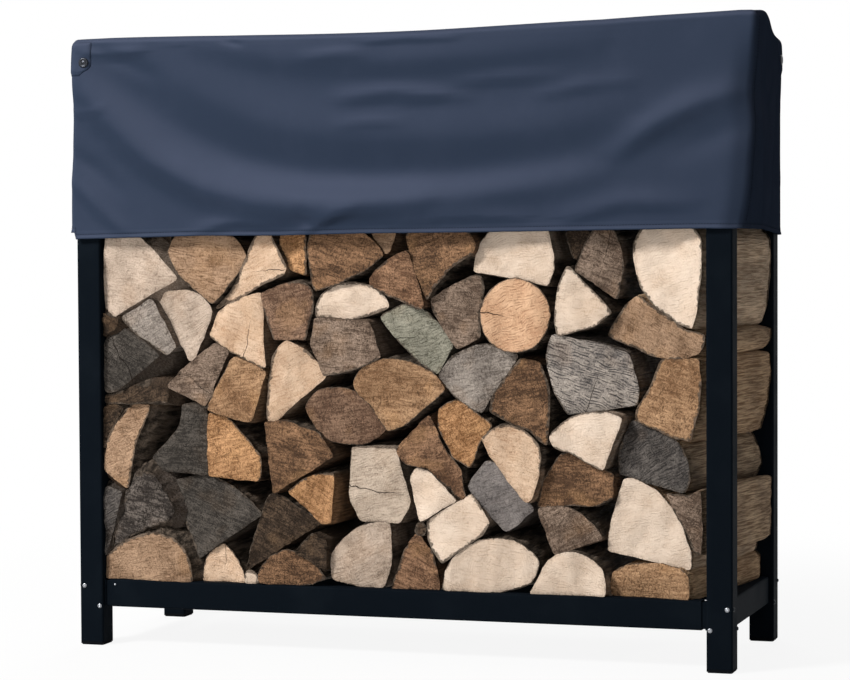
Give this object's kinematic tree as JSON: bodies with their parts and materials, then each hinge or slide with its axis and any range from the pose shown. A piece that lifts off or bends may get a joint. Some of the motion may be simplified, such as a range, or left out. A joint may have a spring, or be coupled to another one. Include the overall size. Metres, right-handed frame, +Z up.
{
  "type": "log store",
  "caption": "Open square-tube firewood rack on four posts, filled with split logs laid front to back, with a fitted fabric cover hanging over its upper third.",
  "frame": {"origin": "on the ground under the middle of the rack", "axes": "+X along the rack's length to the right as seen from the front, +Y to the back, +Z up"},
  "size_m": [1.224, 0.444, 1.1073],
  "materials": {
    "frame": "near-black satin powder coat",
    "plug": "black moulded plastic",
    "cover": "navy coated polyester weave",
    "wood": "split and sawn firewood, fresh to weathered",
    "fastener": "bright zinc plate"
  },
  "bodies": {
    "root": {"post_front_left": "frame", "post_front_right": "frame", "post_rear_left": "frame", "post_rear_right": "frame", "foot_front_left": "plug", "foot_front_right": "plug", "foot_rear_left": "plug", "foot_rear_right": "plug", "sockets_front_left": "frame", "sockets_front_right": "frame", "sockets_rear_left": "frame", "sockets_rear_right": "frame", "bottom_rail_front": "frame", "bottom_rail_rear": "frame", "bottom_rail_left": "frame", "bottom_rail_right": "frame", "top_rail_front": "frame", "top_rail_rear": "frame", "top_rail_left": "frame", "top_rail_right": "frame", "cover": "cover", "log_row_1": "wood", "log_row_2": "wood", "log_row_3": "wood", "log_row_4": "wood", "log_row_5": "wood", "log_row_6": "wood"}
  },
  "joints": []
}
